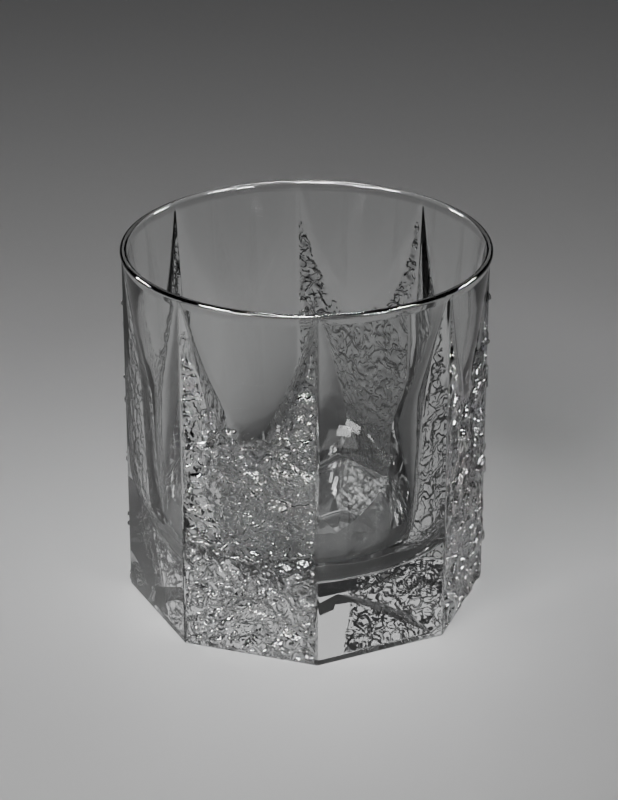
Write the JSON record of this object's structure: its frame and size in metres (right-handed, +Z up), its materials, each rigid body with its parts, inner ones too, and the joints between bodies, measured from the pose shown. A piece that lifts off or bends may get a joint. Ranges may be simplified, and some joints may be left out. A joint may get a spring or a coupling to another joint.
{
  "type": "whiskey tumbler",
  "caption": "Low heavy-based glass tumbler: round flared rim on an octagonal wall with alternating smooth and bark-textured facets.",
  "frame": {"origin": "centre of the flat octagonal ring that the tumbler stands on", "axes": "+Z up along the bowl's axis; X and Y run through the middles of the four textured facets"},
  "size_m": [0.088, 0.088, 0.0894],
  "materials": {
    "clear_glass": "clear colourless pressed glass, fire-polished; four facets carry a moulded bark texture"
  },
  "bodies": {
    "root": {"tumbler": "clear_glass"}
  },
  "joints": []
}
